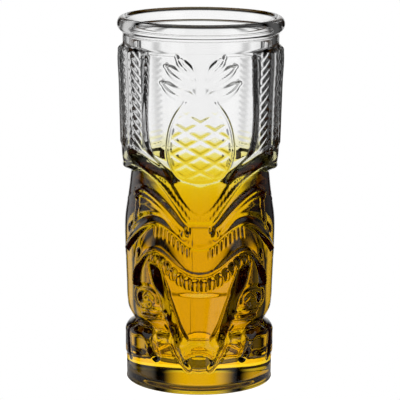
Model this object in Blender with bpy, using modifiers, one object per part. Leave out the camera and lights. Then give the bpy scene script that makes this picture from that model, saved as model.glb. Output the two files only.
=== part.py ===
"""Tiki highball glass: a moulded glass body and the amber colour coat on its outside.

The body is a turned tumbler whose outer wall is then carved: every point of that wall is moved in
or out to the carving's radius. The carving is drawn on the wall unrolled flat: u is the distance
round the wall from the middle of the face, and z is the height. The face looks along -Y.
Lengths in the tables are millimetres, and MM turns them into metres.
"""

import bmesh
import bpy
import numpy as np

MM = 0.001

# Driving dimensions
HEIGHT = 160.0
RIM_RADIUS = 36.2
RIM_HEIGHT = 3.3
RIM_WIDTH = 4.8
BASE_RADIUS = 32.1
FLOOR_HEIGHT = 11.0
PUNT_RADIUS = 21.0
PUNT_DEPTH = 1.2
PUNT_SHOULDER = (18.0, 0.9)
HEEL_RADIUS = 0.6
UNROLL_RADIUS = 33.0
HALF_TURN = np.pi * UNROLL_RADIUS
RIM_FOOT = 152.6
WALL_LEAST = 1.8

# Mesh density
COLUMNS = 56
FRONT_CROWDING = 0.58
PATCH_SHIFTS = (-0.8, -0.4, 0.0, 0.4, 0.8)
CREASE_ANGLE = np.radians(50)

# The colour coat
COAT_BOTTOM = 1.6
COAT_TOP = 110.0
COAT_GAP = 0.3
COAT_THICKNESS = 0.3

# The headdress
BROW_DROP = 2.6
BROW_RIB_RISE = 0.5
BROW_RIB_PLACE = 2.2
BROW_RIB_HALF = 1.4
CHANNEL_DEPTH = 3.1
CHANNEL_HALF = 3.4
SHOULDER_HEIGHT = 147.6
SHOULDER_EASE = 1.6
PANEL_DEPTH = 1.3
PANEL_STEP = 1.5
FOREHEAD_DEPTH = 0.6
FOREHEAD_TOP = 92.0
FOREHEAD_EASE = 10.0
BACK_HALF = 22.0
BACK_STEP = 8.0
COLUMN_FOOT = 103.5
COLUMN_GROOVES = ((29.9, 2.5, 0.6), (39.6, 2.4, 0.6), (46.8, 2.5, 0.6))
COLUMN_RIBS = ((25.6, 2.0, 0.6), (34.6, 2.2, 0.8), (43.2, 2.2, 0.8), (51.6, 2.2, 0.8))

# The pineapple
FRUIT_MIDDLE = 108.3
FRUIT_HALF_HEIGHT = 19.0
FRUIT_HALF_WIDTH = 14.3
FRUIT_RISE = 0.8
FRUIT_BULGE = 0.6
FRUIT_TOP = 130.0
FRUIT_EASE = 1.2
FRUIT_TOP_EASE = 9.0
OUTLINE_RISE = 0.5
OUTLINE_HALF = 0.9
LEAF_RISE = 1.1
STALK_HALF = 4.2
STALK_EASE = 3.0
STALK_SPAN = (128.0, 143.0)

# The face and the feet
LID_RISES = (1.3, 1.2)
LID_HALVES = (2.2, 1.8)
EYE_RISE = 0.7
EYE_SPAN = (11.0, 31.6)
EYE_GROOVE_DEPTH = 0.3
CHEEK_GROOVE_DEPTH = 0.6
MARK_HALF = 1.6
TEMPLE_RISE = 0.35
TEMPLE_HALF = 1.3
ROLL_RISE = 1.5
LIP_RISE = 1.5
LIP_HOLLOW = 0.5
MOUTH_FLOOR = 1.2
TOOTH_RISE = 2.3
TOOTH_SIZE = (2.2, 3.1)
CAVITY_DEPTH = 3.8
CAVITY_HALF = 3.0
JAW_LEVEL = 31.7
JAW_RISE = 1.3
NOSE_RISE = 0.7
NOSE_HALF = 3.4
NOSE_FLARE = 0.3
NOSE_SPAN = (66.0, 77.6)
NOSTRIL_RISE = 1.8
NOSTRIL = ((6.2, 70.8), (2.0, 1.8))
NOSTRIL_PIT_DEPTH = 0.9
NOSTRIL_PIT = ((5.0, 72.4), (1.1, 1.8))
TONGUE_RISE = 1.1
TONGUE_SPAN = (22.0, 45.0)
CHIN_RISE = 0.6
BOSS_RISE = 1.3
BOSS = ((0.0, 14.2), (5.8, 3.8))
FIST_RISE = 1.3
KNUCKLE_RISE = 1.1
FINGER_RISE = 1.4
ARM_RISE = 1.2
ARM_HALF = 2.6
PALM_DEPTH = 1.8
PALM = ((26.0, 40.5), (9.0, 6.5))
SOLE_RISE = 0.4
ARCH_RISE = 0.3
TOE_DEPTH = 1.4
OUTER_TOE_DEPTH = 0.8
CLEFT_HALF = 3.4

# Plain radii of the wall, as (height, radius)
FACE_WALL = (
    (0, 32.0), (8, 32.2), (14, 32.3), (22, 32.3), (24, 31.4), (26.3, 28.3), (28.6, 29.6), (32, 31.3),
    (36, 31.9), (43, 32.2), (60, 32.7), (73, 32.6), (79, 31.8), (86, 30.8), (92, 30.2), (160, 30.2),
)
HEAD_WALL = (
    (0, 33.0), (74, 33.0), (86, 33.3), (92, 32.6), (95, 33.4), (99, 34.1), (108, 34.4), (131, 35.0),
    (144.5, 35.4), (146.6, 35.2), (148.4, 33.8), (160, 33.8),
)
BACK_WALL = (
    (0, 32.2), (60, 32.6), (100, 33.2), (131, 33.6), (144.5, 33.9), (148.4, 33.8), (160, 33.8),
)
CAVITY_WALL = (
    (15.5, 23.0), (26, 23.4), (60, 24.2), (80, 25.3), (92, 26.8), (106, 29.0),
    (130, 30.6), (156, 31.4),
)

# Heights of the wall's rows of points
ROW_HEIGHTS = (
    8, 12.5, 14.5, 18, 22, 24.4, 26.4, 29, 32, 35, 38.5, 42, 45, 48, 51, 54, 57, 60, 62.5, 65, 67.5, 70,
    73, 75.5, 78, 80.5, 83, 86, 89, 91.5, 94, 96.5, 99.5, 103, 107, 110, 114, 119, 124, 129, 133, 137,
    141, 144.5, 146.6, 148.4, 152.6,
)

# Lines of the carving on the unrolled wall, as (distance from the middle of the face, height)
BROW_EDGE = (
    (0, 74.2), (5.2, 74.2), (7.4, 76.4), (9.6, 79.6), (12, 82.6), (16, 87), (20, 90.4), (24, 93.2),
    (28, 95), (33, 95.6), (40, 93.6), (52, 92.6), (104, 92.6),
)
BROW_CHANNEL = ((11.6, 95.4), (14.5, 97.6), (19, 99.3), (24, 101), (29, 102.6), (34, 103.4))
OUTLINE = (
    (6.4, 127.6), (10.2, 122.4), (12.8, 116.6), (14.1, 110), (14.3, 106), (13.4, 101.4), (11.4, 97),
    (8.4, 94.2), (4, 93.2), (0, 93),
)
LEAVES = (
    ((1.6, 138.4), (5.2, 141.2), (9.8, 146.2), 2.5),
    ((1.4, 134.4), (7.4, 137.4), (14.6, 142.4), 3.0),
    ((1.8, 129.6), (9.4, 131.0), (16.4, 135.2), 3.2),
)
LIDS = (
    ((7, 73.2), (9, 74.9), (13, 79), (18, 83), (24, 86.2), (30, 87.6), (36, 86)),
    ((8.6, 72.6), (13, 76.8), (18, 80.9), (24, 84), (30, 85.2), (34.6, 84)),
)
EYE_GROOVE = ((12, 75), (15, 77.2), (20, 79.9), (26, 80.8), (32, 80.2))
CHEEK_GROOVE = ((6.4, 69.2), (10, 71), (13, 73.8), (17, 76.6), (22, 77.6), (27, 76.8), (33, 73.6), (39, 69))
TEMPLE = ((47, 81), (40, 83.4), (34.6, 84), (34.2, 80.4), (33.8, 77), (35, 70))
UPPER_LIP = (
    (-4, 65.6), (0, 64.7), (4, 65.6), (7, 67.4), (10, 70), (14, 73), (18, 74.5), (22, 74), (26, 72),
    (30, 69), (35, 65), (41, 60),
)
MOUTH_LIP = (
    (-4, 53.8), (0, 53.2), (4, 53.8), (8, 56), (12, 59.2), (15, 61.4), (18.5, 63), (21.5, 62.6),
    (25, 60.2), (28, 56.5), (31, 51.5), (33, 46),
)
TEETH = ((1.9, 48.4), (5.4, 49.2), (8.9, 50.6), (12.2, 52.6), (15.2, 54.9), (18.0, 57.2), (20.8, 58.6))
CAVITY_LINE = ((20.6, 53), (17.4, 46.4), (14.6, 40), (12.2, 33.4), (9.8, 27.6), (7.6, 24))
JAW = (
    (23.4, 57), (22, 50.6), (19.4, 44.6), (16.8, 39), (14.8, 33), (12.6, 27), (10.2, 21), (7.6, 15.6),
    (4.6, 11.4),
)
JAW_GROOVE = ((16.4, 29), (14.6, 25), (12.2, 20), (9.6, 15.4))
ARM = ((30.4, 60), (31.4, 52), (32, 46))
FIST = ((20.4, 39.6), (20.8, 42.4), (24.6, 44), (29.6, 43.6), (32.6, 40.8), (31, 37.8), (26, 37.6))
KNUCKLE = ((24, 40.4), (26.8, 41.6), (29.2, 40.2))
FINGERS = (((16.8, 36), (23, 35.6), (29.6, 35.4)), ((16.4, 33), (22, 32.8), (28.6, 32.6)))
TOE = ((28.6, 27), (24, 23.4), (22.2, 20), (20.6, 16.4))
ARCH = ((10.6, 22.8), (14, 22.4), (17.6, 20.4), (22, 17.9), (28, 15.4))
OUTER_TOE = ((42, 26), (41, 20), (39.6, 13.6))
FOOT_SOLE = ((0, 16.5), (12, 16.5), (17, 16.2), (22, 14.9), (30, 13.4), (42, 12), (104, 11.8))
BOSS_RIM = ((-4, 17.4), (0, 18.2), (4, 17.4), (6.2, 15))
CHIN_EDGE = ((0, 23.4), (3.5, 21.9), (8.6, 19.4))

# Half widths of features, as (height, half width)
PANEL_SIDE = (
    (79, 0), (80.6, 3), (85, 7.4), (90, 11.2), (94.8, 14.6), (99, 18.2), (101.8, 20.4), (104, 22.2),
    (108, 23.9), (114, 25), (120, 25.2), (136, 24), (148, 23.3),
)
FRUIT_SIDE = (
    (91, 0), (93, 5), (94.2, 8.4), (97, 11.4), (101.4, 13.4), (106, 14.3), (110, 14.1), (116.6, 12.8),
    (122.4, 10.2), (127.6, 6.4), (140, 6.4),
)
JAW_SIDE = ((10, 3.6), (16, 8.8), (25.4, 12.8), (34.4, 16), (43.6, 19.4), (50, 22), (57, 23.6))
TONGUE_SIDE = ((20, 5), (24.8, 6.2), (34, 8.2), (43.5, 10.2), (56, 13))

def smooth_step(x):
    x = np.clip(x, 0.0, 1.0)
    return x * x * (3.0 - 2.0 * x)


def table(x, pairs):
    """A value read from (place, value) pairs, eased between them."""
    places, values = np.array(pairs, float).T
    k = np.clip(np.searchsorted(places, x) - 1, 0, len(places) - 2)
    slopes = np.gradient(values, places)
    width = places[k + 1] - places[k]
    t = np.clip((x - places[k]) / width, 0.0, 1.0)
    start, end = slopes[k] * width, slopes[k + 1] * width
    rise = values[k + 1] - values[k]
    flat = rise == 0
    start, end = np.where(flat, 0.0, start), np.where(flat, 0.0, end)
    return values[k] + t * start + t * t * (3 * rise - 2 * start - end) + t**3 * (start + end - 2 * rise)


def curve(points, steps=6):
    """A smooth Catmull-Rom curve through the points."""
    p = np.array(points, float)
    p = np.vstack([2 * p[0] - p[1], p, 2 * p[-1] - p[-2]])
    t = np.linspace(0.0, 1.0, steps, endpoint=False)[:, None]
    runs = [
        0.5 * (2 * b + (c - a) * t + (2 * a - 5 * b + 4 * c - d) * t**2 + (3 * b - a - 3 * c + d) * t**3)
        for a, b, c, d in zip(p, p[1:], p[2:], p[3:])
    ]
    return np.vstack(runs + [p[-2:-1]])


def nearest(points, u, z):
    """Distance to a smooth curve, and how far along it from 0 to 1 the nearest place lies."""
    line = curve(points)
    run = np.concatenate([[0.0], np.cumsum(np.hypot(*np.diff(line, axis=0).T))])
    best, along = np.full(np.shape(u), 1e9), np.zeros(np.shape(u))
    for k, ((au, az), (bu, bz)) in enumerate(zip(line, line[1:])):
        du, dz = bu - au, bz - az
        t = np.clip(((u - au) * du + (z - az) * dz) / (du * du + dz * dz), 0.0, 1.0)
        gap = np.hypot(u - au - t * du, z - az - t * dz)
        along = np.where(gap < best, (run[k] + t * (run[k + 1] - run[k])) / run[-1], along)
        best = np.minimum(best, gap)
    return best, along


def distance(points, u, z):
    return nearest(points, u, z)[0]


def bar(points, u, z, half_width):
    """A round-topped bar along a curve: 1 on its line, 0 past its half width."""
    x = np.clip(distance(points, u, z) / half_width, 0.0, 1.0)
    return (1.0 - x * x) ** 2


def groove(points, u, z, half_width):
    """A straight-sided groove along a curve: 1 on its line, 0 past its half width."""
    x = np.clip(distance(points, u, z) / half_width, 0.0, 1.0)
    return 1.04 - np.sqrt(0.0016 + x * x * (1.08 - 0.0784))


def fold(points, u, z, below, above):
    """A ridge along a curve that falls away over one distance below it and another above it."""
    reach = np.where(z > table(u, points), above, below)
    x = np.clip(distance(points, u, z) / reach, 0.0, 1.0)
    return 0.5 + 0.5 * np.cos(np.pi * x)


def dome(u, z, centre, radii):
    """A round-topped mound: 1 at its centre, 0 past its rim."""
    x = ((u - centre[0]) / radii[0]) ** 2 + ((z - centre[1]) / radii[1]) ** 2
    return np.clip(1.0 - x, 0.0, 1.0) ** 0.75


def within(value, low, high, ease):
    """1 between two limits, easing to 0 outside them."""
    return smooth_step(0.5 + (value - low) / ease) * smooth_step(0.5 + (high - value) / ease)


def ground(side, z):
    """The wall before its ornament: a face set back under an overhanging headdress, and a plain back."""
    face, head = table(z, FACE_WALL), table(z, HEAD_WALL)
    carved = face + (head - face) * smooth_step((z - table(side, BROW_EDGE)) / BROW_DROP)
    plain = smooth_step(0.5 + (side - (HALF_TURN - BACK_HALF)) / BACK_STEP)
    return carved + (table(z, BACK_WALL) - carved) * plain


def columns(side, z):
    """Side columns: grooves and plain ribs, the same behind as in front."""
    folded = np.minimum(side, HALF_TURN - side)
    shape = np.zeros(np.shape(side))
    for place, half, depth in COLUMN_GROOVES:
        shape = shape - depth * np.clip(1.0 - ((folded - place) / half) ** 2, 0.0, 1.0)
    for place, half, rise in COLUMN_RIBS:
        shape = shape + rise * np.clip(1.0 - ((folded - place) / half) ** 2, 0.0, 1.0)
    return shape * smooth_step((z - COLUMN_FOOT) / 2.0)


def headdress(side, z):
    """The columns, the sunk front panel, and the brow's rib and channel."""
    over_brow = z - table(side, BROW_EDGE)
    on_head = smooth_step(over_brow / BROW_DROP) * smooth_step((SHOULDER_HEIGHT - z) / SHOULDER_EASE)
    front = smooth_step(0.5 + (table(z, PANEL_SIDE) - side) / PANEL_STEP)
    depth = FOREHEAD_DEPTH + (PANEL_DEPTH - FOREHEAD_DEPTH) * smooth_step((z - FOREHEAD_TOP) / FOREHEAD_EASE)
    off_rib = (distance(BROW_EDGE, side, z) - BROW_RIB_PLACE) / BROW_RIB_HALF
    rib = BROW_RIB_RISE * np.clip(1.0 - off_rib**2, 0.0, 1.0)
    channel = CHANNEL_DEPTH * groove(BROW_CHANNEL, side, z, CHANNEL_HALF)
    channel = channel * smooth_step((side - table(z, FRUIT_SIDE)) / 1.0)
    shape = columns(side, z) + np.where(over_brow > 0, rib, 0) - channel - depth * front
    return on_head * shape


def pineapple(side, z):
    """The egg-shaped fruit with its outline, and three pairs of soft leaves."""
    half = table(z, FRUIT_SIDE)
    inside = smooth_step(0.5 + (half - side) / FRUIT_EASE) * smooth_step(half / 2.0)
    inside = inside * smooth_step((FRUIT_TOP - z) / FRUIT_TOP_EASE)
    middle = ((z - FRUIT_MIDDLE) / FRUIT_HALF_HEIGHT) ** 2 + (side / FRUIT_HALF_WIDTH) ** 2
    fruit = FRUIT_RISE * inside + FRUIT_BULGE * np.clip(1.0 - middle, 0.0, 1.0) * inside
    fruit = fruit + OUTLINE_RISE * bar(OUTLINE, side, z, OUTLINE_HALF)
    leaves = np.zeros(np.shape(side))
    for base, bend, tip, half_width in LEAVES:
        gap, along = nearest((base, bend, tip), side, z)
        blade = gap / (half_width * np.sin(np.pi * np.clip(along, 0.04, 0.96)) ** 0.5)
        leaves = np.maximum(leaves, LEAF_RISE * smooth_step((1.3 - blade) / 0.9))
    stalk = LEAF_RISE * smooth_step((STALK_HALF - side) / STALK_EASE) * within(z, *STALK_SPAN, 5.0)
    return fruit + np.maximum(leaves * smooth_step(side / STALK_EASE), stalk)


def eyes(side, z):
    """Doubled lids, a shallow groove across the eye, and the contour of the temple."""
    lids = [rise * bar(points, side, z, half) for points, rise, half in zip(LIDS, LID_RISES, LID_HALVES)]
    under_lid = smooth_step((table(side, LIDS[1]) - z) / 1.5)
    over_cheek = smooth_step((z - table(side, CHEEK_GROOVE)) / 1.5)
    ball = EYE_RISE * under_lid * over_cheek * within(side, *EYE_SPAN, 2.0)
    marks = EYE_GROOVE_DEPTH * bar(EYE_GROOVE, side, z, MARK_HALF)
    marks = marks + CHEEK_GROOVE_DEPTH * bar(CHEEK_GROOVE, side, z, MARK_HALF)
    return np.maximum(np.maximum(*lids), ball) - marks + TEMPLE_RISE * bar(TEMPLE, side, z, TEMPLE_HALF)


def nose(side, z):
    """A flared bridge with a rolled nostril at each side."""
    low, high = NOSE_SPAN
    half_width = NOSE_HALF + (high - z) * NOSE_FLARE
    tall = smooth_step((high - z) / 5.0) * smooth_step((z - low) / 3.0)
    bridge = NOSE_RISE * smooth_step(0.5 + (half_width - side) / 3.6) * tall
    pit = NOSTRIL_PIT_DEPTH * dome(side, z, *NOSTRIL_PIT)
    return np.maximum(bridge, NOSTRIL_RISE * dome(side, z, *NOSTRIL)) - pit


def mouth(side, z):
    """Two rolled lips with a hollow between them, and a garland of teeth."""
    upper, lower = table(side, UPPER_LIP[1:]), table(side, MOUTH_LIP[1:])
    roll = ROLL_RISE * fold(UPPER_LIP, side, z, 1.4, 3.6)
    down = np.clip((upper - z) / np.maximum(upper - lower, 4.0), 0.0, 1.0)
    between = smooth_step((upper - z) / 1.4) * smooth_step((z - lower + 1.8) / 1.8)
    between = between * smooth_step((36.0 - side) / 6.0)
    swell = between * (-LIP_HOLLOW + (LIP_RISE + LIP_HOLLOW) * down**2)
    lip = 0.7 * bar(MOUTH_LIP, side, z, 1.6)
    teeth = np.maximum.reduce([dome(side, z, centre, TOOTH_SIZE) for centre in TEETH])
    gums = smooth_step((lower - 0.4 - z) / 1.6) * within(z, 44.0, 62.0, 3.0)
    gums = gums * smooth_step(0.5 + (table(z, JAW_SIDE) - 1.5 - side) / 1.5)
    return roll + swell + lip - MOUTH_FLOOR * gums + TOOTH_RISE * teeth


def jaw(side, z):
    """A deep hollow each side of the tongue inside a rolled jaw, and the chin with its boss."""
    hollow = CAVITY_DEPTH * groove(CAVITY_LINE, side, z, CAVITY_HALF) * smooth_step((57.0 - z) / 3.0)
    tongue = TONGUE_RISE * np.clip(1.0 - (side / table(z, TONGUE_SIDE)) ** 2, 0.0, 1.0)
    tongue = tongue * within(z, *TONGUE_SPAN, 5.0)
    chin = CHIN_RISE * smooth_step((table(side, CHIN_EDGE) - z) / 0.9) * within(side, -9.0, 6.4, 1.5)
    chin = chin * smooth_step((z - 10.0) / 3.0)
    boss = BOSS_RISE * dome(side, z, *BOSS) - 0.5 * bar(BOSS_RIM, side, z, 0.8)
    edge = JAW_RISE * bar(JAW, side, z, 1.7) - 0.5 * bar(JAW_GROOVE, side, z, 1.0)
    return edge - hollow + tongue + chin + boss


def hands(side, z):
    """A rounded forearm, a curled fist and two bars of fingers on each side."""
    fist = np.maximum(FIST_RISE * bar(FIST, side, z, 1.4), KNUCKLE_RISE * bar(KNUCKLE, side, z, 1.2))
    fingers = [FINGER_RISE * bar(points, side, z, 1.4) for points in FINGERS]
    arm = ARM_RISE * bar(ARM, side, z, ARM_HALF)
    return np.maximum.reduce([arm, fist] + fingers) - PALM_DEPTH * dome(side, z, *PALM)


def feet(side, z):
    """The sole's line round the base, the arch, and the clefts beside each toe."""
    sole = SOLE_RISE * smooth_step((z - table(side, FOOT_SOLE)) / 0.8) * smooth_step((25.0 - z) / 3.0)
    arch = ARCH_RISE * fold(ARCH, side, z, 1.6, 3.2) * smooth_step((side - 10.0) / 1.5)
    clefts = TOE_DEPTH * bar(TOE, side, z, CLEFT_HALF)
    clefts = clefts + OUTER_TOE_DEPTH * bar(OUTER_TOE, side, z, CLEFT_HALF)
    return sole + arch - clefts


def wall_radius(u, z):
    """The outer wall's radius at each place on the unrolled wall."""
    side = np.abs(u)
    inside = smooth_step(0.5 + (table(z, JAW_SIDE) - side) / 2.0) * within(z, 10.5, 43.0, 4.0)
    plain = ground(side, z)
    plain = plain + np.clip(JAW_LEVEL - plain, 0.0, None) * inside
    face = eyes(side, z) + nose(side, z) + mouth(side, z) + jaw(side, z) + hands(side, z) + feet(side, z)
    face = face * smooth_step((table(side, BROW_EDGE) + 0.5 - z) / 1.5)
    face = face * smooth_step((HALF_TURN - BACK_HALF - side) / BACK_STEP)
    carved = plain + headdress(side, z) + pineapple(side, z) + face
    return np.maximum(carved, table(z, CAVITY_WALL) + WALL_LEAST)


def patch_radius(u, z):
    """The wall's radius averaged over the small patch that one vertex stands for."""
    return np.mean([wall_radius(u + du, z + dz) for du in PATCH_SHIFTS for dz in PATCH_SHIFTS], axis=0)


def arc(centre, radii, start, end, steps):
    """Points round part of an ellipse, by angle in degrees."""
    angles = np.radians(np.linspace(start, end, steps + 1))
    return [(centre[0] + radii[0] * np.cos(a), centre[1] + radii[1] * np.sin(a)) for a in angles]


def wall_rows(low, high):
    """The plain wall's points from high to low, which are carved afterwards."""
    heights = [z for z in ROW_HEIGHTS[::-1] if low < z < high]
    return [(BASE_RADIUS, z) for z in [high] * (high in ROW_HEIGHTS) + heights + [low]]


def body_profile():
    """From the middle of the floor, up the cavity, over the rim and down to the middle of the foot."""
    rim_middle = RIM_RADIUS - RIM_WIDTH / 2
    rim_low = HEIGHT - RIM_HEIGHT
    corner_height, cavity_radius = CAVITY_WALL[0]
    turn = corner_height - FLOOR_HEIGHT
    floor = [(0.0, FLOOR_HEIGHT), (cavity_radius / 2, FLOOR_HEIGHT)]
    floor += arc((cavity_radius - turn, corner_height), (turn, turn), -90, 0, 3)
    cavity = [(r, z) for z, r in CAVITY_WALL[1:-1]]
    bead = arc((rim_middle, rim_low), (RIM_WIDTH / 2, RIM_HEIGHT), 180, 0, 8)
    under_bead = arc((rim_middle, rim_low), (RIM_WIDTH / 2, RIM_HEIGHT - 0.3), -25, -70, 2)
    heel = arc((BASE_RADIUS - HEEL_RADIUS, HEEL_RADIUS), (HEEL_RADIUS, HEEL_RADIUS), 0, -90, 2)
    punt = [(PUNT_RADIUS, 0.0), PUNT_SHOULDER, (0.0, PUNT_DEPTH)]
    return floor + cavity + bead + under_bead + wall_rows(COAT_BOTTOM, RIM_FOOT) + heel + punt


def turned(name, profile):
    """A mesh of the profile swept round Z."""
    sketch = bpy.data.meshes.new(name)
    edges = [(k, k + 1) for k in range(len(profile) - 1)]
    sketch.from_pydata([(r * MM, 0.0, z * MM) for r, z in profile], edges, [])
    lathe = bpy.data.objects.new(name + "_profile", sketch)
    bpy.context.scene.collection.objects.link(lathe)
    screw = lathe.modifiers.new("Screw", "SCREW")
    screw.steps = screw.render_steps = COLUMNS
    screw.use_merge_vertices = True
    screw.merge_threshold = 0.00001
    evaluated = lathe.evaluated_get(bpy.context.evaluated_depsgraph_get())
    mesh = bpy.data.meshes.new_from_object(evaluated)
    mesh.name = name
    bpy.data.objects.remove(lathe)
    return mesh


def polar(mesh):
    """Each vertex's radius, angle from the front and height, in millimetres and radians."""
    points = np.empty(len(mesh.vertices) * 3, np.float32)
    mesh.vertices.foreach_get("co", points)
    x, y, z = points.reshape(-1, 3).astype(float).T / MM
    return np.hypot(x, y), np.arctan2(x, -y), z


def place(mesh, radius, angle, z):
    points = np.stack([radius * np.sin(angle), -radius * np.cos(angle), z], axis=1) * MM
    mesh.vertices.foreach_set("co", points.astype(np.float32).ravel())
    mesh.update()


def carve(mesh):
    """Crowds the mesh's columns towards the face and moves its outer wall to the carving."""
    radius, angle, z = polar(mesh)
    angle = angle - FRONT_CROWDING * np.sin(angle)
    on_wall = (np.abs(radius - BASE_RADIUS) < 0.01) & (z > COAT_BOTTOM - 0.01) & (z < RIM_FOOT + 0.01)
    radius = np.where(on_wall, patch_radius(UNROLL_RADIUS * angle, z), radius)
    place(mesh, radius, angle, z)
    work = bmesh.new()
    work.from_mesh(mesh)
    bmesh.ops.triangulate(work, faces=work.faces, quad_method="SHORT_EDGE")
    work.to_mesh(mesh)
    work.free()


def outer_skin(body, name):
    """The coated stretch of the body's outer wall, as an open surface a gap outside it."""
    mesh = body.copy()
    mesh.name = name
    work = bmesh.new()
    work.from_mesh(mesh)
    low, high = (COAT_BOTTOM - 0.01) * MM, (COAT_TOP + 0.01) * MM

    def coated(vertex):
        height = vertex.co.z / MM
        reach = np.hypot(vertex.co.x, vertex.co.y) / MM
        return low < vertex.co.z < high and reach > float(table(height, CAVITY_WALL)) + WALL_LEAST / 2

    bare = [vertex for vertex in work.verts if not coated(vertex)]
    bmesh.ops.delete(work, geom=bare, context="VERTS")
    work.to_mesh(mesh)
    work.free()
    radius, angle, z = polar(mesh)
    place(mesh, radius + COAT_GAP, angle, z)
    return mesh


def material(name, colour, roughness, transmission, alpha):
    made = bpy.data.materials.new(name)
    made.use_nodes = True
    shader = made.node_tree.nodes["Principled BSDF"]
    shader.inputs["Base Color"].default_value = (*colour, 1.0)
    shader.inputs["Roughness"].default_value = roughness
    shader.inputs["Metallic"].default_value = 0.0
    shader.inputs["IOR"].default_value = 1.5
    shader.inputs["Transmission Weight"].default_value = transmission
    shader.inputs["Alpha"].default_value = alpha
    return made


def add_object(name, mesh, finish, collection):
    made = bpy.data.objects.new(name, mesh)
    mesh.materials.append(finish)
    collection.objects.link(made)
    mesh.shade_smooth()
    mesh.set_sharp_from_angle(angle=CREASE_ANGLE)
    return made


def glass_body(collection):
    mesh = turned("glass_body", body_profile())
    carve(mesh)
    finish = material("clear_glass", (0.95, 0.97, 0.96), 0.02, 1.0, 1.0)
    return add_object("glass_body", mesh, finish, collection)


def amber_coat(body, collection):
    """A skin just off the body's wall, thickened outwards."""
    mesh = outer_skin(body.data, "amber_coat")
    mesh.materials.clear()
    finish = material("amber_lacquer", (0.80, 0.48, 0.03), 0.05, 0.9, 0.7)
    coat = add_object("amber_coat", mesh, finish, collection)
    skin = coat.modifiers.new("Thickness", "SOLIDIFY")
    skin.thickness = COAT_THICKNESS * MM
    skin.offset = 1.0
    return coat


def main():
    for stale in list(bpy.data.objects):
        bpy.data.objects.remove(stale)
    collection = bpy.data.collections.new("tiki_glass")
    bpy.context.scene.collection.children.link(collection)
    body = glass_body(collection)
    amber_coat(body, collection)


main()
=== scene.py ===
"""Looks for the tiki highball glass: a finely carved glass body over the amber pigment under its skin.

The carving is the CAD model's, drawn on the wall unrolled flat: u is the distance round the wall from
the middle of the face and z is the height, both in millimetres. Here its mesh is fine enough to carry
the rope strokes, the pineapple's scales, the flutes under the lip and the mould's seams as well.
"""

import math

import bpy
import numpy as np
from mathutils import Matrix


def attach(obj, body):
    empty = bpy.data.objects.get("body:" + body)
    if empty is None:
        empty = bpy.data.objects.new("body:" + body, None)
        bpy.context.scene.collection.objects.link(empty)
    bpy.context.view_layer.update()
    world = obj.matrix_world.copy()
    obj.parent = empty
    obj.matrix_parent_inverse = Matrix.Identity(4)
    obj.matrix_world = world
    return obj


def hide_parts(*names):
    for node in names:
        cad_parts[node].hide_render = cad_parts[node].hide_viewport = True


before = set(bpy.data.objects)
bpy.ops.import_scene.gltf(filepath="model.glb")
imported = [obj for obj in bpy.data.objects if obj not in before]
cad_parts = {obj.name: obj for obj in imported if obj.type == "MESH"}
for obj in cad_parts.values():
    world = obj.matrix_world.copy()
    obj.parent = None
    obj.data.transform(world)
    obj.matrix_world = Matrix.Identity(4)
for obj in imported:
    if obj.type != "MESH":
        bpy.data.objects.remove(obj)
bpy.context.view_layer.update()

MM = 0.001

# Driving dimensions, as in the CAD model
HEIGHT = 160.0
RIM_RADIUS = 36.2
RIM_HEIGHT = 3.3
RIM_WIDTH = 4.8
BEAD_TUCK = 0.3
BASE_RADIUS = 32.1
FLOOR_HEIGHT = 11.0
PUNT_RADIUS = 21.0
PUNT_DEPTH = 1.2
PUNT_FLATNESS = 12
RING_RADII = (28.0, 24.0)
HEEL_RADIUS = 0.6
UNROLL_RADIUS = 33.0
HALF_TURN = np.pi * UNROLL_RADIUS
WALL_BOTTOM = 1.0
RIM_FOOT = 152.6

# Mesh density
COLUMNS = 310
FRONT_CROWDING = 0.5
WALL_STEP = 0.6
CAVITY_SPAN = (154.0, 17.0)
CAVITY_STEP = 3.0
PUNT_STEPS = 22
COAT_COLUMNS = 200
COAT_STEP = 1.0

# The pigment under the skin
COAT_BOTTOM = 1.6
COAT_TOP = 112.0
COAT_DEPTH = 0.3
COAT_THICKNESS = 0.06

# The headdress
BROW_DROP = 2.6
BROW_RIB_RISE = 0.5
BROW_RIB_PLACE = 2.2
BROW_RIB_HALF = 1.4
CHANNEL_DEPTH = 3.1
CHANNEL_HALF = 3.4
SHOULDER_HEIGHT = 147.6
SHOULDER_EASE = 1.6
PANEL_DEPTH = 1.3
PANEL_STEP = 1.5
FOREHEAD_DEPTH = 0.6
FOREHEAD_TOP = 92.0
FOREHEAD_EASE = 10.0
HAMMER_RISE = 0.07
HAMMER_PITCHES = (3.1, 2.7)
HAMMER_TOP = 98.0
BACK_HALF = 22.0
BACK_STEP = 8.0
COLUMN_FOOT = 103.5
WORKED_REACH = 6.0
ROPES = ((29.9, 2.5, 0.8), (46.8, 2.5, 0.8))
ROPE_PITCH = 3.7
ROPE_GAP = 0.25
ROPE_DEPTH = 0.6
BEADS = ((39.6, 2.1),)
BEAD_PITCH = 4.5
BEAD_GAP = 0.25
BEAD_DEPTH = 0.6
RIBS = ((34.6, 1.5, 0.6), (43.2, 1.5, 0.6), (51.6, 1.6, 0.6))
FEATHER_PITCH = 2.6
FEATHER_RISE = 0.08
FEATHER_LEAN = 0.3
FEATHER_SPAN = (17.0, 22.6)
FEATHER_FOOT = 106.0

# The pineapple
FRUIT_RISE = 0.8
FRUIT_BULGE = 0.6
FRUIT_TOP = 130.0
FRUIT_EASE = 1.2
FRUIT_TOP_EASE = 9.0
FRUIT_HALF_WIDTH = 14.3
FRUIT_HALF_HEIGHT = 19.0
OUTLINE_RISE = 0.5
OUTLINE_HALF = 0.9
SCALE_MIDDLE = 108.3
SCALE_WIDTH = 11.8
SCALE_HEIGHT = 6.8
SCALE_RISE = 0.6
SCALE_SPAN = (95.0, 125.0)
SCALE_FLOOR = 0.6
RIDGE_REACH = 5.7
RIDGE_HALF = 1.2
LEAF_RISE = 1.1
LEAF_SLOT = 0.7
STALK_HALF = 4.2
STALK_EASE = 3.0
STALK_SPAN = (128.0, 143.0)

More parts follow.
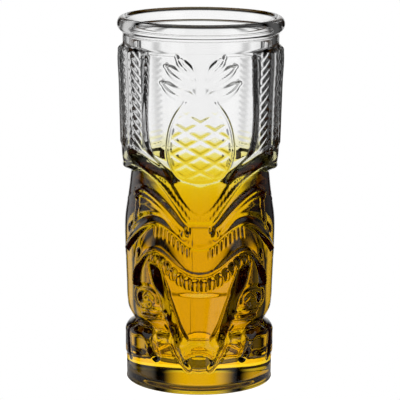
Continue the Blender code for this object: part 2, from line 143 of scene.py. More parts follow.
# The face and the feet
LID_RISES = (1.3, 0.9 * 1.3)
LID_HALVES = (2.2, 1.8)
EYE_RISE = 0.7
EYE_SPAN = (11.0, 31.6)
EYE_GROOVE_DEPTH = 0.3
CHEEK_GROOVE_DEPTH = 0.6
MARK_HALF = 1.6
TEMPLE_RISE = 0.35
TEMPLE_HALF = 1.3
ROLL_RISE = 1.5
LIP_RISE = 1.5
LIP_HOLLOW = 0.5
MOUTH_FLOOR = 1.2
TOOTH_RISE = 2.3
TOOTH_SIZE = (2.2, 3.1)
CAVITY_DEPTH = 3.8
CAVITY_HALF = 3.0
JAW_LEVEL = 31.7
JAW_RISE = 1.3
NOSE_RISE = 0.7
NOSE_HALF = 4.2
NOSE_MIDDLE = 75.0
NOSE_FLARE = 0.3
NOSE_SPAN = (66.0, 77.6)
NOSTRIL_RISE = 1.8
NOSTRIL = ((6.2, 70.8), (2.0, 1.8))
NOSTRIL_PIT_DEPTH = 0.9
NOSTRIL_PIT = ((5.0, 72.4), (1.1, 1.8))
TONGUE_RISE = 1.1
TONGUE_SPAN = (22.0, 45.0)
CHIN_RISE = 0.6
BOSS_RISE = 1.3
BOSS = ((0.0, 14.2), (5.8, 3.8))
FIST_RISE = 1.3
KNUCKLE_RISE = 1.1
FINGER_RISE = 1.4
ARM_RISE = 1.2
ARM_HALF = 2.6
PALM_DEPTH = 1.8
PALM = ((26.0, 40.5), (9.0, 6.5))
SOLE_RISE = 0.4
ARCH_RISE = 0.3
TOE_DEPTH = 1.4
OUTER_TOE_DEPTH = 0.8
CLEFT_HALF = 3.4
FLUTE_PITCH = 2.0
FLUTE_RISE = 0.3
FLUTE_HANG = (1.4, 5.4)
FLUTE_SPAN = (3.4, 21.0)
WALL_LEAST = 1.8
SEAM_PLACE = -3.4
SEAM_RISE = 0.25
SEAM_HALF = 0.4
SEAM_TOP = 80.0
SEAM_EASE = 8.0

# Plain radii of the wall, as (height, radius)
FACE_WALL = (
    (0, 32.0), (8, 32.2), (14, 32.3), (22, 32.3), (24, 31.4), (26.3, 28.3), (28.6, 29.6), (32, 31.3),
    (36, 31.9), (43, 32.2), (60, 32.7), (73, 32.6), (79, 31.8), (86, 30.8), (92, 30.2), (160, 30.2),
)
HEAD_WALL = (
    (0, 33.0), (74, 33.0), (86, 33.3), (92, 32.6), (95, 33.4), (99, 34.1), (108, 34.4), (131, 35.0),
    (144.5, 35.4), (146.6, 35.2), (148.4, 33.8), (160, 33.8),
)
BACK_WALL = (
    (0, 32.2), (60, 32.6), (100, 33.2), (131, 33.6), (144.5, 33.9), (148.4, 33.8), (160, 33.8),
)
CAVITY_WALL = (
    (15.5, 23.0), (26, 23.4), (60, 24.2), (80, 25.3), (92, 26.8), (106, 29.0),
    (130, 30.6), (156, 31.4),
)

# Lines of the carving on the unrolled wall, as (distance from the middle of the face, height)
BROW_EDGE = (
    (0, 74.2), (5.2, 74.2), (7.4, 76.4), (9.6, 79.6), (12, 82.6), (16, 87), (20, 90.4), (24, 93.2),
    (28, 95), (33, 95.6), (40, 93.6), (52, 92.6), (104, 92.6),
)
BROW_CHANNEL = ((11.6, 95.4), (14.5, 97.6), (19, 99.3), (24, 101), (29, 102.6), (34, 103.4))
OUTLINE = (
    (6.4, 127.6), (10.2, 122.4), (12.8, 116.6), (14.1, 110), (14.3, 106), (13.4, 101.4), (11.4, 97),
    (8.4, 94.2), (4, 93.2), (0, 93),
)
LEAVES = (
    ((1.6, 138.4), (5.2, 141.2), (9.8, 146.2), 2.5),
    ((1.4, 134.4), (7.4, 137.4), (14.6, 142.4), 3.0),
    ((1.8, 129.6), (9.4, 131.0), (16.4, 135.2), 3.2),
)
LIDS = (
    ((7, 73.2), (9, 74.9), (13, 79), (18, 83), (24, 86.2), (30, 87.6), (36, 86)),
    ((8.6, 72.6), (13, 76.8), (18, 80.9), (24, 84), (30, 85.2), (34.6, 84)),
)
EYE_GROOVE = ((12, 75), (15, 77.2), (20, 79.9), (26, 80.8), (32, 80.2))
CHEEK_GROOVE = ((6.4, 69.2), (10, 71), (13, 73.8), (17, 76.6), (22, 77.6), (27, 76.8), (33, 73.6), (39, 69))
TEMPLE = ((47, 81), (40, 83.4), (34.6, 84), (34.2, 80.4), (33.8, 77), (35, 70))
UPPER_LIP = (
    (-4, 65.6), (0, 64.7), (4, 65.6), (7, 67.4), (10, 70), (14, 73), (18, 74.5), (22, 74), (26, 72),
    (30, 69), (35, 65), (41, 60),
)
MOUTH_LIP = (
    (-4, 53.8), (0, 53.2), (4, 53.8), (8, 56), (12, 59.2), (15, 61.4), (18.5, 63), (21.5, 62.6),
    (25, 60.2), (28, 56.5), (31, 51.5), (33, 46),
)
TEETH = ((1.9, 48.4), (5.4, 49.2), (8.9, 50.6), (12.2, 52.6), (15.2, 54.9), (18.0, 57.2), (20.8, 58.6))
CAVITY_LINE = ((20.6, 53), (17.4, 46.4), (14.6, 40), (12.2, 33.4), (9.8, 27.6), (7.6, 24))
JAW = (
    (23.4, 57), (22, 50.6), (19.4, 44.6), (16.8, 39), (14.8, 33), (12.6, 27), (10.2, 21), (7.6, 15.6),
    (4.6, 11.4),
)
JAW_GROOVE = ((16.4, 29), (14.6, 25), (12.2, 20), (9.6, 15.4))
ARM = ((30.4, 60), (31.4, 52), (32, 46))
FIST = ((20.4, 39.6), (20.8, 42.4), (24.6, 44), (29.6, 43.6), (32.6, 40.8), (31, 37.8), (26, 37.6))
KNUCKLE = ((24, 40.4), (26.8, 41.6), (29.2, 40.2))
FINGERS = (((16.8, 36), (23, 35.6), (29.6, 35.4)), ((16.4, 33), (22, 32.8), (28.6, 32.6)))
TOE = ((28.6, 27), (24, 23.4), (22.2, 20), (20.6, 16.4))
ARCH = ((10.6, 22.8), (14, 22.4), (17.6, 20.4), (22, 17.9), (28, 15.4))
OUTER_TOE = ((42, 26), (41, 20), (39.6, 13.6))
FOOT_SOLE = ((0, 16.5), (12, 16.5), (17, 16.2), (22, 14.9), (30, 13.4), (42, 12), (104, 11.8))
BOSS_RIM = ((-4, 17.4), (0, 18.2), (4, 17.4), (6.2, 15))
CHIN_EDGE = ((0, 23.4), (3.5, 21.9), (8.6, 19.4))

# Half widths of features, as (height, half width)
PANEL_SIDE = (
    (79, 0), (80.6, 3), (85, 7.4), (90, 11.2), (94.8, 14.6), (99, 18.2), (101.8, 20.4), (104, 22.2),
    (108, 23.9), (114, 25), (120, 25.2), (136, 24), (148, 23.3),
)
FRUIT_SIDE = (
    (91, 0), (93, 5), (94.2, 8.4), (97, 11.4), (101.4, 13.4), (106, 14.3), (110, 14.1), (116.6, 12.8),
    (122.4, 10.2), (127.6, 6.4), (140, 6.4),
)
JAW_SIDE = ((10, 3.6), (16, 8.8), (25.4, 12.8), (34.4, 16), (43.6, 19.4), (50, 22), (57, 23.6))
TONGUE_SIDE = ((20, 5), (24.8, 6.2), (34, 8.2), (43.5, 10.2), (56, 13))

# Tints by height, for the whole way through one wall of glass and for one face of the pigment
GLASS_TINT = (
    (0, (0.95, 0.80, 0.13)), (60, (0.955, 0.81, 0.14)), (82, (0.968, 0.86, 0.2)),
    (90, (0.985, 0.93, 0.5)), (97, (0.995, 0.98, 0.82)), (105, (1.0, 1.0, 1.0)),
)
FILM_TINT = (
    (0, (0.963, 0.86, 0.36)), (60, (0.966, 0.87, 0.38)), (82, (0.975, 0.905, 0.45)),
    (90, (0.985, 0.95, 0.65)), (97, (0.996, 0.985, 0.86)), (105, (1.0, 1.0, 1.0)),
)

# The sprayed edge's drift in height, in millimetres, and the scale of its mottling
SPRAY_DRIFT = 9.0
SPRAY_SCALE = 45.0

# Camera
CAMERA_PITCH = math.radians(78.5)
CAMERA_ROLL = math.radians(0.35)
CAMERA_PLACE = (0.0, -0.914, 0.267)
LENS_MM = 192.0
LENS_SHIFT = -0.0109

# Studio: soft panels, as (direction in degrees, strength), a soft box overhead and a small glowing table
FLOOR_RADIUS = 0.046
FLOOR_GAP = 0.0002
FLOOR_GLOW = 1.0
MIRRORED_FLOOR_GLOW = 0.1
PANELS = ((90, 1.0), (135, 0.7), (180, 0.75), (315, 0.8), (0, 0.1), (45, 0.1), (225, 0.1), (270, 0.1))
PANEL_EDGE = (0.935, 0.996)
PANEL_TOP = (0.42, 0.32)
PANEL_BOTTOM = (-0.58, -0.42)
TOP_BOX = (0.6, 0.85)
TOP_LIGHT = 0.8

# How many times a path may mirror, turn or cross the pigment: its light dims from one count to the other
MIRRORS = (0.5, 4.0)
TURNS = (6.5, 12.0)
PIGMENT_CROSSINGS = (4.5, 8.0)
LONG_WAY_LIGHT = 0.06


# Shapes on the unrolled wall
def smooth_step(x):
    x = np.clip(x, 0.0, 1.0)
    return x * x * (3.0 - 2.0 * x)


def table(x, pairs):
    """A value read from (place, value) pairs, eased between them."""
    places, values = np.array(pairs, float).T
    k = np.clip(np.searchsorted(places, x) - 1, 0, len(places) - 2)
    slopes = np.gradient(values, places)
    width = places[k + 1] - places[k]
    t = np.clip((x - places[k]) / width, 0.0, 1.0)
    start, end = slopes[k] * width, slopes[k + 1] * width
    rise = values[k + 1] - values[k]
    flat = rise == 0
    start, end = np.where(flat, 0.0, start), np.where(flat, 0.0, end)
    return values[k] + t * start + t * t * (3 * rise - 2 * start - end) + t**3 * (start + end - 2 * rise)


def curve(points, steps=6):
    """A smooth Catmull-Rom curve through the points."""
    p = np.array(points, float)
    p = np.vstack([2 * p[0] - p[1], p, 2 * p[-1] - p[-2]])
    t = np.linspace(0.0, 1.0, steps, endpoint=False)[:, None]
    runs = [
        0.5 * (2 * b + (c - a) * t + (2 * a - 5 * b + 4 * c - d) * t**2 + (3 * b - a - 3 * c + d) * t**3)
        for a, b, c, d in zip(p, p[1:], p[2:], p[3:])
    ]
    return np.vstack(runs + [p[-2:-1]])


def nearest(points, u, z):
    """Distance to a smooth curve, and how far along it from 0 to 1 the nearest place lies."""
    line = curve(points)
    run = np.concatenate([[0.0], np.cumsum(np.hypot(*np.diff(line, axis=0).T))])
    best, along = np.full(np.shape(u), 1e9), np.zeros(np.shape(u))
    for k, ((au, az), (bu, bz)) in enumerate(zip(line, line[1:])):
        du, dz = bu - au, bz - az
        t = np.clip(((u - au) * du + (z - az) * dz) / (du * du + dz * dz), 0.0, 1.0)
        gap = np.hypot(u - au - t * du, z - az - t * dz)
        along = np.where(gap < best, (run[k] + t * (run[k + 1] - run[k])) / run[-1], along)
        best = np.minimum(best, gap)
    return best, along


def distance(points, u, z):
    return nearest(points, u, z)[0]


def bar(points, u, z, half_width):
    """A round-topped bar along a curve: 1 on its line, 0 past its half width."""
    x = np.clip(distance(points, u, z) / half_width, 0.0, 1.0)
    return (1.0 - x * x) ** 2


def groove(points, u, z, half_width):
    """A straight-sided groove along a curve: 1 on its line, 0 past its half width."""
    x = np.clip(distance(points, u, z) / half_width, 0.0, 1.0)
    return 1.04 - np.sqrt(0.0016 + x * x * (1.08 - 0.0784))


def fold(points, u, z, below, above):
    """A ridge along a curve that falls away over one distance below it and another above it."""
    reach = np.where(z > table(u, points), above, below)
    x = np.clip(distance(points, u, z) / reach, 0.0, 1.0)
    return 0.5 + 0.5 * np.cos(np.pi * x)


def dome(u, z, centre, radii):
    """A round-topped mound: 1 at its centre, 0 past its rim."""
    x = ((u - centre[0]) / radii[0]) ** 2 + ((z - centre[1]) / radii[1]) ** 2
    return np.clip(1.0 - x, 0.0, 1.0) ** 0.75


def within(value, low, high, ease):
    """1 between two limits, easing to 0 outside them."""
    return smooth_step(0.5 + (value - low) / ease) * smooth_step(0.5 + (high - value) / ease)


# The carving
def ground(side, z):
    """The wall before its ornament: a face set back under an overhanging headdress, and a plain back."""
    face, head = table(z, FACE_WALL), table(z, HEAD_WALL)
    carved = face + (head - face) * smooth_step((z - table(side, BROW_EDGE)) / BROW_DROP)
    plain = smooth_step(0.5 + (side - (HALF_TURN - BACK_HALF)) / BACK_STEP)
    return carved + (table(z, BACK_WALL) - carved) * plain


def columns(side, z):
    """Side columns: slanted rope strokes, beads and plain ribs. The ribs are the same behind as in front;
    the rope strokes and beads fade out a little past each side, so behind there are only the ribs.
    """
    worked = smooth_step((HALF_TURN / 2 + WORKED_REACH - side) / 3.0)
    side = np.minimum(side, HALF_TURN - side)
    cut = np.zeros(np.shape(side))
    for place, half, lean in ROPES:
        across = side - place
        stroke = np.cos(2 * np.pi * (z - lean * across) / ROPE_PITCH)
        cut = cut - ROPE_DEPTH * np.clip(ROPE_GAP + stroke, 0.0, 1.0) * within(across, -half, half, 0.9)
    for place, half in BEADS:
        gap = 0.5 + 0.5 * np.cos(2 * np.pi * z / BEAD_PITCH)
        cut = cut - BEAD_DEPTH * (BEAD_GAP + (1.0 - BEAD_GAP) * gap) * within(side - place, -half, half, 1.2)
    cut = cut * worked
    for place, half, rise in RIBS:
        cut = cut + rise * np.clip(1.0 - ((side - place) / half) ** 2, 0.0, 1.0)
    return cut * smooth_step((z - COLUMN_FOOT) / 2.0)


def headdress(side, z):
    """The columns, the sunk front panel, and the brow's rib and channel."""
    over_brow = z - table(side, BROW_EDGE)
    on_head = smooth_step(over_brow / BROW_DROP) * smooth_step((SHOULDER_HEIGHT - z) / SHOULDER_EASE)
    front = smooth_step(0.5 + (table(z, PANEL_SIDE) - side) / PANEL_STEP)
    depth = FOREHEAD_DEPTH + (PANEL_DEPTH - FOREHEAD_DEPTH) * smooth_step((z - FOREHEAD_TOP) / FOREHEAD_EASE)
    off_rib = (distance(BROW_EDGE, side, z) - BROW_RIB_PLACE) / BROW_RIB_HALF
    rib = BROW_RIB_RISE * np.clip(1.0 - off_rib**2, 0.0, 1.0)
    channel = CHANNEL_DEPTH * groove(BROW_CHANNEL, side, z, CHANNEL_HALF)
    channel = channel * smooth_step((side - table(z, FRUIT_SIDE)) / 1.0)
    rising, falling = HAMMER_PITCHES
    hammer = np.sin(2 * np.pi * (side + z) / rising) * np.sin(2 * np.pi * (side - z) / falling)
    hammer = HAMMER_RISE * hammer * (over_brow > 0) * (1.0 - front) * smooth_step((HAMMER_TOP - z) / 3.0)
    feathers = FEATHER_RISE * np.cos(2 * np.pi * (z + FEATHER_LEAN * side) / FEATHER_PITCH)
    feathers = feathers * within(side, *FEATHER_SPAN, 1.5) * smooth_step((z - FEATHER_FOOT) / 3.0) * front
    shape = columns(side, z) + np.where(over_brow > 0, rib, 0) - channel - depth * front
    return on_head * (shape + feathers + hammer)


def pineapple(side, z):
    """The egg-shaped fruit with its outline and crossed ridges, and three pairs of soft leaves."""
    half = table(z, FRUIT_SIDE)
    inside = smooth_step(0.5 + (half - side) / FRUIT_EASE) * smooth_step(half / 2.0)
    inside = inside * smooth_step((FRUIT_TOP - z) / FRUIT_TOP_EASE)
    middle = ((z - SCALE_MIDDLE) / FRUIT_HALF_HEIGHT) ** 2 + (side / FRUIT_HALF_WIDTH) ** 2
    fruit = FRUIT_RISE * inside + FRUIT_BULGE * np.clip(1.0 - middle, 0.0, 1.0) * inside
    ridges = np.zeros(np.shape(side))
    for lean in (1.0, -1.0):
        phase = side / SCALE_WIDTH + lean * (z - SCALE_MIDDLE) / SCALE_HEIGHT
        off = np.abs(phase - np.floor(phase) - 0.5) * RIDGE_REACH
        ridges = np.maximum(ridges, np.clip(1.0 - (off / RIDGE_HALF) ** 2, 0.0, 1.0))
    on_fruit = smooth_step((half - 1.6 - side) / 0.8) * smooth_step((z - SCALE_SPAN[0]) / 1.0)
    on_fruit = on_fruit * smooth_step((SCALE_SPAN[1] - z) / 4.0)
    fruit = fruit + on_fruit * SCALE_RISE * (ridges - SCALE_FLOOR)
    fruit = fruit + OUTLINE_RISE * bar(OUTLINE, side, z, OUTLINE_HALF)
    leaves = np.zeros(np.shape(side))
    for base, bend, tip, half_width in LEAVES:
        gap, along = nearest((base, bend, tip), side, z)
        blade = gap / (half_width * np.sin(np.pi * np.clip(along, 0.04, 0.96)) ** 0.5)
        slot = LEAF_SLOT * (1.0 - smooth_step(gap / 0.8)) * within(along, 0.3, 0.86, 0.2)
        leaves = np.maximum(leaves, LEAF_RISE * smooth_step((1.3 - blade) / 0.9) - slot)
    stalk = LEAF_RISE * smooth_step((STALK_HALF - side) / STALK_EASE) * within(z, *STALK_SPAN, 5.0)
    return fruit + np.maximum(leaves * smooth_step(side / STALK_EASE), stalk)


def eyes(side, z):
    """Doubled lids, a shallow groove across the eye, and the contour of the temple."""
    lids = [rise * bar(points, side, z, half) for points, rise, half in zip(LIDS, LID_RISES, LID_HALVES)]
    under_lid = smooth_step((table(side, LIDS[1]) - z) / 1.5)
    over_cheek = smooth_step((z - table(side, CHEEK_GROOVE)) / 1.5)
    ball = EYE_RISE * under_lid * over_cheek * within(side, *EYE_SPAN, 2.0)
    marks = EYE_GROOVE_DEPTH * bar(EYE_GROOVE, side, z, MARK_HALF)
    marks = marks + CHEEK_GROOVE_DEPTH * bar(CHEEK_GROOVE, side, z, MARK_HALF)
    return np.maximum(np.maximum(*lids), ball) - marks + TEMPLE_RISE * bar(TEMPLE, side, z, TEMPLE_HALF)


def nose(side, z):
    """A flared bridge with a rolled nostril at each side."""
    low, high = NOSE_SPAN
    half_width = NOSE_HALF + (NOSE_MIDDLE - z) * NOSE_FLARE
    tall = smooth_step((high - z) / 5.0) * smooth_step((z - low) / 3.0)
    bridge = NOSE_RISE * smooth_step(0.5 + (half_width - side) / 3.6) * tall
    pit = NOSTRIL_PIT_DEPTH * dome(side, z, *NOSTRIL_PIT)
    return np.maximum(bridge, NOSTRIL_RISE * dome(side, z, *NOSTRIL)) - pit


def mouth(side, z):
    """Two rolled lips with a fluted hollow between them, and a garland of teeth."""
    upper, lower = table(side, UPPER_LIP[1:]), table(side, MOUTH_LIP[1:])
    roll = ROLL_RISE * fold(UPPER_LIP, side, z, 1.4, 3.6)
    down = np.clip((upper - z) / np.maximum(upper - lower, 4.0), 0.0, 1.0)
    between = smooth_step((upper - z) / 1.4) * smooth_step((z - lower + 1.8) / 1.8)
    between = between * smooth_step((36.0 - side) / 6.0)
    swell = between * (-LIP_HOLLOW + (LIP_RISE + LIP_HOLLOW) * down**2)
    lip = 0.7 * bar(MOUTH_LIP, side, z, 1.6)
    flutes = FLUTE_RISE * np.cos(2 * np.pi * side / FLUTE_PITCH) * within(upper - z, *FLUTE_HANG, 1.8)
    flutes = flutes * within(side, *FLUTE_SPAN, 2.0)
    teeth = np.maximum.reduce([dome(side, z, centre, TOOTH_SIZE) for centre in TEETH])
    gums = smooth_step((lower - 0.4 - z) / 1.6) * within(z, 44.0, 62.0, 3.0)
    gums = gums * smooth_step(0.5 + (table(z, JAW_SIDE) - 1.5 - side) / 1.5)
    return roll + swell + lip + flutes - MOUTH_FLOOR * gums + TOOTH_RISE * teeth


def jaw(side, z):
    """A deep hollow each side of the tongue inside a rolled jaw, and the chin with its boss."""
    hollow = CAVITY_DEPTH * groove(CAVITY_LINE, side, z, CAVITY_HALF) * smooth_step((57.0 - z) / 3.0)
    tongue = TONGUE_RISE * np.clip(1.0 - (side / table(z, TONGUE_SIDE)) ** 2, 0.0, 1.0)
    tongue = tongue * within(z, *TONGUE_SPAN, 5.0)
    chin = CHIN_RISE * smooth_step((table(side, CHIN_EDGE) - z) / 0.9) * within(side, -9.0, 6.4, 1.5)
    chin = chin * smooth_step((z - 10.0) / 3.0)
    boss = BOSS_RISE * dome(side, z, *BOSS) - 0.5 * bar(BOSS_RIM, side, z, 0.8)
    edge = JAW_RISE * bar(JAW, side, z, 1.7) - 0.5 * bar(JAW_GROOVE, side, z, 1.0)
    return edge - hollow + tongue + chin + boss


def hands(side, z):
    """A rounded forearm, a curled fist and two bars of fingers on each side."""
    fist = np.maximum(FIST_RISE * bar(FIST, side, z, 1.4), KNUCKLE_RISE * bar(KNUCKLE, side, z, 1.2))
    fingers = [FINGER_RISE * bar(points, side, z, 1.4) for points in FINGERS]
    arm = ARM_RISE * bar(ARM, side, z, ARM_HALF)
    return np.maximum.reduce([arm, fist] + fingers) - PALM_DEPTH * dome(side, z, *PALM)


def feet(side, z):
    """The sole's line round the base, the arch, and the clefts beside each toe."""
    sole = SOLE_RISE * smooth_step((z - table(side, FOOT_SOLE)) / 0.8) * smooth_step((25.0 - z) / 3.0)
    arch = ARCH_RISE * fold(ARCH, side, z, 1.6, 3.2) * smooth_step((side - 10.0) / 1.5)
    clefts = TOE_DEPTH * bar(TOE, side, z, CLEFT_HALF)
    clefts = clefts + OUTER_TOE_DEPTH * bar(OUTER_TOE, side, z, CLEFT_HALF)
    return sole + arch - clefts


def seams(u, z):
    """The mould's two parting lines."""
    gaps = [np.abs(u - SEAM_PLACE), np.abs(u - SEAM_PLACE - HALF_TURN)]
    ridge = np.clip(1.0 - (np.minimum(*gaps) / SEAM_HALF) ** 2, 0.0, 1.0)
    return SEAM_RISE * ridge * smooth_step((SEAM_TOP - z) / SEAM_EASE)


def wall_radius(u, z):
    """The outer wall's radius at each place on the unrolled wall."""
    side = np.abs(u)
    inside = smooth_step(0.5 + (table(z, JAW_SIDE) - side) / 2.0) * within(z, 10.5, 43.0, 4.0)
    plain = ground(side, z)
    plain = plain + np.clip(JAW_LEVEL - plain, 0.0, None) * inside
    face = eyes(side, z) + nose(side, z) + mouth(side, z) + jaw(side, z) + hands(side, z) + feet(side, z)
    face = face * smooth_step((table(side, BROW_EDGE) + 0.5 - z) / 1.5)
    face = face * smooth_step((HALF_TURN - BACK_HALF - side) / BACK_STEP)
    carved = plain + headdress(side, z) + pineapple(side, z) + face + seams(u, z)
    return np.maximum(carved, table(z, CAVITY_WALL) + WALL_LEAST)


# Meshes
def arc(centre, radii, start, end, steps):
    """Points round part of an ellipse, by angle in degrees."""
    angles = np.radians(np.linspace(start, end, steps + 1))
    return [(centre[0] + radii[0] * np.cos(a), centre[1] + radii[1] * np.sin(a)) for a in angles]


def rows_between(high, low, step):
    return list(np.linspace(high, low, int(round((high - low) / step)) + 1))


def body_profile():
    """(radius, height) from the cavity floor's middle, over the rim and under the foot to its middle.

    A radius of None is carved wall.
    """
    rim_middle = RIM_RADIUS - RIM_WIDTH / 2
    rim_low = HEIGHT - RIM_HEIGHT
    corner_height, corner_radius = CAVITY_WALL[0]
    turn = corner_height - FLOOR_HEIGHT
    floor = [(r, FLOOR_HEIGHT) for r in np.linspace(0.0, corner_radius - turn, 8)]
    floor += arc((corner_radius - turn, corner_height), (turn, turn), -90, 0, 10)[1:]
    cavity = [(float(table(z, CAVITY_WALL)), z) for z in rows_between(*CAVITY_SPAN, CAVITY_STEP)[::-1]]
    bead = arc((rim_middle, rim_low), (RIM_WIDTH / 2, RIM_HEIGHT), 180, 0, 24)
    under = arc((rim_middle, rim_low), (RIM_WIDTH / 2, RIM_HEIGHT - BEAD_TUCK), -6, -70, 10)
    wall = [(None, z) for z in rows_between(RIM_FOOT, WALL_BOTTOM, WALL_STEP)]
    heel = arc((BASE_RADIUS - HEEL_RADIUS, HEEL_RADIUS), (HEEL_RADIUS, HEEL_RADIUS), 0, -90, 6)
    ring = [(r, 0.0) for r in RING_RADII]
    hollow = np.linspace(PUNT_RADIUS, 0.0, PUNT_STEPS)
    punt = [(r, PUNT_DEPTH * (1.0 - (r / PUNT_RADIUS) ** PUNT_FLATNESS)) for r in hollow]
    return floor + cavity + bead + under + wall + heel + ring + punt


def crowded_angles(columns):
    """Angles round the glass from the front, closer together over the face."""
    even = np.linspace(-np.pi, np.pi, columns, endpoint=False)
    return even - FRONT_CROWDING * np.sin(even)


def swept(name, profile, columns, offset=0.0):
    """A mesh of quads through the profile's points at every angle. Wall points take the carving's radius."""
    angles = crowded_angles(columns)
    rings, poles = [], []
    for radius, height in profile:
        if radius is None:
            rings.append((wall_radius(UNROLL_RADIUS * angles, np.full(columns, height)) + offset, height))
        elif radius < 1e-6:
            poles.append((len(rings), height))
        else:
            rings.append((np.full(columns, radius), height))
    points = [
        np.stack([r * np.sin(angles), -r * np.cos(angles), np.full(columns, z)], axis=1) for r, z in rings
    ]
    count = len(points)
    points = np.vstack(points + [[(0.0, 0.0, z)] for _, z in poles]) * MM
    faces = []
    beside = [(k, (k + 1) % columns) for k in range(columns)]
    for upper in range(0, (count - 1) * columns, columns):
        lower = upper + columns
        faces += [(upper + k, lower + k, lower + n, upper + n) for k, n in beside]
    for pole, (ring, _) in enumerate(poles):
        hub = count * columns + pole
        if ring == 0:
            faces += [(hub, k, n) for k, n in beside]
        else:
            row = (count - 1) * columns
            faces += [(hub, row + n, row + k) for k, n in beside]
    mesh = bpy.data.meshes.new(name)
    mesh.from_pydata(points.tolist(), [], faces)
    mesh.shade_smooth()
    return mesh


def add_piece(name, mesh, material, node):
    piece = bpy.data.objects.new(name, mesh)
    bpy.context.scene.collection.objects.link(piece)
    mesh.materials.append(material)
    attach(piece, "root")
    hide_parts(node)
    return piece


def node_tree(name):
    """An empty material, its tree and its output node."""
    made = bpy.data.materials.new(name)
    made.use_nodes = True
    tree = made.node_tree
    tree.nodes.clear()
    return made, tree, tree.nodes.new("ShaderNodeOutputMaterial")


def height_mm(tree):
    """The height above the foot in millimetres at each point of the surface."""
    place = tree.nodes.new("ShaderNodeTexCoord")
    split = tree.nodes.new("ShaderNodeSeparateXYZ")
    scale = tree.nodes.new("ShaderNodeMath")
    scale.operation = "MULTIPLY"
    scale.inputs[1].default_value = 1000.0
    tree.links.new(place.outputs["Object"], split.inputs[0])
    tree.links.new(split.outputs["Z"], scale.inputs[0])
    return place.outputs["Object"], scale.outputs[0]


def spray(tree, stops):
    """A colour that follows the sprayed pigment: clear above, amber below, with a soft mottled edge."""
    position, height = height_mm(tree)
    noise = tree.nodes.new("ShaderNodeTexNoise")
    noise.inputs["Scale"].default_value = SPRAY_SCALE
    noise.inputs["Detail"].default_value = 3.0
    tree.links.new(position, noise.inputs["Vector"])
    drift = tree.nodes.new("ShaderNodeMath")
    drift.operation = "MULTIPLY_ADD"
    drift.inputs[1].default_value = SPRAY_DRIFT
    drift.inputs[2].default_value = -SPRAY_DRIFT / 2
    tree.links.new(noise.outputs["Fac"], drift.inputs[0])
    shifted = tree.nodes.new("ShaderNodeMath")
    shifted.operation = "ADD"
    tree.links.new(height, shifted.inputs[0])
    tree.links.new(drift.outputs[0], shifted.inputs[1])
    scaled = tree.nodes.new("ShaderNodeMath")
    scaled.operation = "DIVIDE"
    scaled.inputs[1].default_value = HEIGHT
    tree.links.new(shifted.outputs[0], scaled.inputs[0])
    ramp = tree.nodes.new("ShaderNodeValToRGB")
    ramp.color_ramp.interpolation = "EASE"
    while len(ramp.color_ramp.elements) < len(stops):
        ramp.color_ramp.elements.new(0.5)
    for element, (place, colour) in zip(ramp.color_ramp.elements, stops):
        element.position = place / HEIGHT
        element.color = (*colour, 1.0)
    tree.links.new(scaled.outputs[0], ramp.inputs[0])
    return ramp.outputs["Color"]


def clear_glass():
    made, tree, output = node_tree("clear_glass")
    glass = tree.nodes.new("ShaderNodeBsdfPrincipled")
    glass.inputs["Transmission Weight"].default_value = 1.0
    glass.inputs["IOR"].default_value = 1.5
    glass.inputs["Roughness"].default_value = 0.0
    tree.links.new(spray(tree, GLASS_TINT), glass.inputs["Base Color"])
    tree.links.new(glass.outputs[0], output.inputs["Surface"])
    return made


def amber_lacquer():
    made, tree, output = node_tree("amber_lacquer")
    film = tree.nodes.new("ShaderNodeBsdfTransparent")
    tree.links.new(spray(tree, FILM_TINT), film.inputs["Color"])
    tree.links.new(film.outputs[0], output.inputs["Surface"])
    return made


def glass_body():
    mesh = swept("glass_body_fine", body_profile(), COLUMNS)
    return add_piece("glass_body_fine", mesh, clear_glass(), "glass_body")


def amber_coat():
    outside = [(None, z) for z in rows_between(COAT_TOP, COAT_BOTTOM, COAT_STEP)]
    mesh = swept("amber_coat_fine", outside, COAT_COLUMNS, -COAT_DEPTH)
    piece = add_piece("amber_coat_fine", mesh, amber_lacquer(), "amber_coat")
    thick = piece.modifiers.new("thick", "SOLIDIFY")
    thick.thickness = COAT_THICKNESS * MM
    return piece


def camera():
    """A long lens from in front and a little above."""
    data = bpy.data.cameras.new("camera")
    data.lens = LENS_MM
    data.sensor_width = 36.0
    data.shift_y = LENS_SHIFT
    data.clip_start = 0.05
    made = bpy.data.objects.new("camera", data)
    made.location = CAMERA_PLACE
    turn = Matrix.Rotation(CAMERA_PITCH, 3, "X") @ Matrix.Rotation(CAMERA_ROLL, 3, "Z")
    made.rotation_euler = turn.to_euler()
    bpy.context.scene.collection.objects.link(made)
    bpy.context.scene.camera = made


def floor():
    """A pale table. It glows, but faintly where the glass only mirrors it."""
    mesh = bpy.data.meshes.new("table_top")
    angles = np.linspace(0, 2 * np.pi, 96)[:-1]
    rim = [(FLOOR_RADIUS * math.cos(a), FLOOR_RADIUS * math.sin(a), -FLOOR_GAP) for a in angles]
    mesh.from_pydata(rim, [], [list(range(len(rim)))])
    piece = bpy.data.objects.new("table_top", mesh)
    bpy.context.scene.collection.objects.link(piece)
    made, tree, output = node_tree("table_top")
    top = tree.nodes.new("ShaderNodeBsdfPrincipled")
    top.inputs["Base Color"].default_value = (0.9, 0.9, 0.9, 1)
    top.inputs["Roughness"].default_value = 0.6
    top.inputs["Emission Color"].default_value = (1, 1, 1, 1)
    ray = tree.nodes.new("ShaderNodeLightPath")
    glow = tree.nodes.new("ShaderNodeMapRange")
    glow.inputs["From Max"].default_value = 1.0
    glow.inputs["To Min"].default_value = FLOOR_GLOW
    glow.inputs["To Max"].default_value = MIRRORED_FLOOR_GLOW
    tree.links.new(ray.outputs["Glossy Depth"], glow.inputs["Value"])
    seen = tree.nodes.new("ShaderNodeMath")
    seen.operation = "MAXIMUM"
    tree.links.new(glow.outputs["Result"], seen.inputs[0])
    tree.links.new(ray.outputs["Is Camera Ray"], seen.inputs[1])
    tree.links.new(seen.outputs[0], top.inputs["Emission Strength"])
    tree.links.new(top.outputs[0], output.inputs["Surface"])
    mesh.materials.append(made)


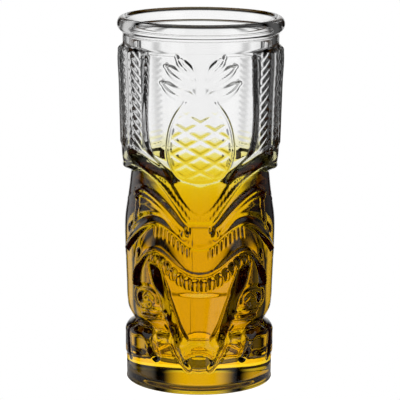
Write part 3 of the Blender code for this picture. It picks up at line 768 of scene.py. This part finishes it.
def studio():
    """White all round to the eye. The glass sees tall soft panels with dark gaps between them.

    Light that turns, mirrors or crosses the pigment many times on its way is dimmed, since deep glass
    swallows it.
    """
    world = bpy.data.worlds.new("studio")
    world.use_nodes = True
    tree = world.node_tree
    tree.nodes.clear()
    new, link = tree.nodes.new, tree.links.new

    def maths(operation, *values):
        node = new("ShaderNodeMath")
        node.operation = operation
        for socket, value in zip(node.inputs, values):
            if isinstance(value, (int, float)):
                socket.default_value = value
            else:
                link(value, socket)
        return node.outputs[0]

    def step(value, low, high):
        node = new("ShaderNodeMapRange")
        node.interpolation_type = "SMOOTHSTEP"
        node.inputs["From Min"].default_value = low
        node.inputs["From Max"].default_value = high
        link(value, node.inputs["Value"])
        return node.outputs["Result"]

    split = new("ShaderNodeSeparateXYZ")
    link(new("ShaderNodeTexCoord").outputs["Generated"], split.inputs[0])
    x, y, up = split.outputs
    level = maths("SQRT", maths("ADD", maths("MULTIPLY", x, x), maths("MULTIPLY", y, y)))
    panels = None
    for azimuth, strength in PANELS:
        east = maths("MULTIPLY", x, math.cos(math.radians(azimuth)))
        north = maths("MULTIPLY", y, math.sin(math.radians(azimuth)))
        toward = maths("DIVIDE", maths("ADD", east, north), level)
        panel = maths("MULTIPLY", step(toward, *PANEL_EDGE), strength)
        panels = panel if panels is None else maths("MAXIMUM", panels, panel)
    low = maths("MULTIPLY", step(up, *PANEL_TOP), step(up, *PANEL_BOTTOM))
    top = step(up, *TOP_BOX)
    ray = new("ShaderNodeLightPath")
    eye = ray.outputs["Is Camera Ray"]
    pigment = step(ray.outputs["Transparent Depth"], *PIGMENT_CROSSINGS)
    turns = step(ray.outputs["Ray Depth"], *TURNS)
    mirrors = step(ray.outputs["Glossy Depth"], *MIRRORS)
    long_way = maths("MAXIMUM", maths("MAXIMUM", pigment, turns), mirrors)
    dimmed = maths("SUBTRACT", 1.0, maths("MULTIPLY", long_way, 1.0 - LONG_WAY_LIGHT))
    light = maths("MAXIMUM", maths("MULTIPLY", panels, low), maths("MULTIPLY", top, TOP_LIGHT))
    light = maths("MULTIPLY", light, dimmed)
    background = new("ShaderNodeBackground")
    background.inputs["Color"].default_value = (1.0, 1.0, 1.0, 1.0)
    link(maths("MAXIMUM", eye, light), background.inputs["Strength"])
    link(background.outputs[0], new("ShaderNodeOutputWorld").inputs["Surface"])
    bpy.context.scene.world = world


glass_body()
amber_coat()
floor()
camera()
studio()
scene = bpy.context.scene
scene.view_settings.view_transform = "Standard"
scene.cycles.max_bounces = 32
scene.cycles.transmission_bounces = 32
scene.cycles.glossy_bounces = 16
scene.cycles.transparent_max_bounces = 64
